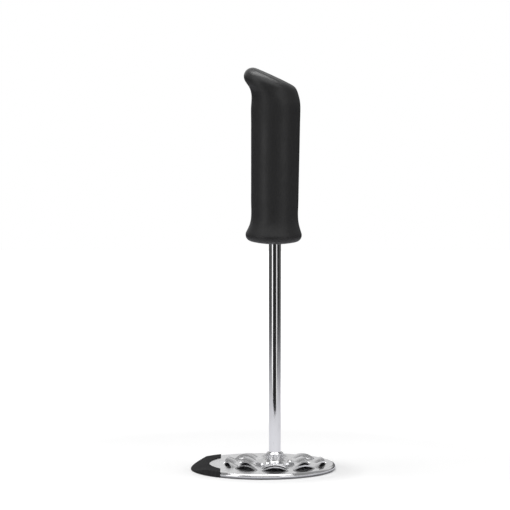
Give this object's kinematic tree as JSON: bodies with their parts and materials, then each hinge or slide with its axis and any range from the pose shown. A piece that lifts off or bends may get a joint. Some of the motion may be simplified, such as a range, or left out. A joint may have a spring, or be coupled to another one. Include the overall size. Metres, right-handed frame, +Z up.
{
  "type": "hand-held potato ricer",
  "caption": "Upright hand tool that presses boiled potato through a round steel cutter plate, with a silicone scraping nose and a soft grip with a thumb slope.",
  "frame": {"origin": "centre of the plate's round outline, on the plane that the tool stands on", "axes": "+Z up along the shaft, -X towards the scraping nose and the front lip of the grip, Y across"},
  "size_m": [0.0974, 0.0974, 0.2701],
  "materials": {
    "plate_steel": "polished stainless steel",
    "shaft_steel": "polished stainless steel",
    "foot_steel": "turned stainless steel",
    "rivet_steel": "stainless steel",
    "pin_steel": "stainless steel",
    "silicone": "satin silicone",
    "soft_grip": "matte soft-touch elastomer",
    "core_plastic": "moulded plastic"
  },
  "bodies": {
    "root": {"ricing_plate": "plate_steel", "scraper": "silicone", "foot_flange": "foot_steel", "flange_rivets": "rivet_steel", "shaft": "shaft_steel", "shaft_pin": "pin_steel", "handle_core": "core_plastic", "core_cap": "core_plastic", "grip": "soft_grip"}
  },
  "joints": []
}
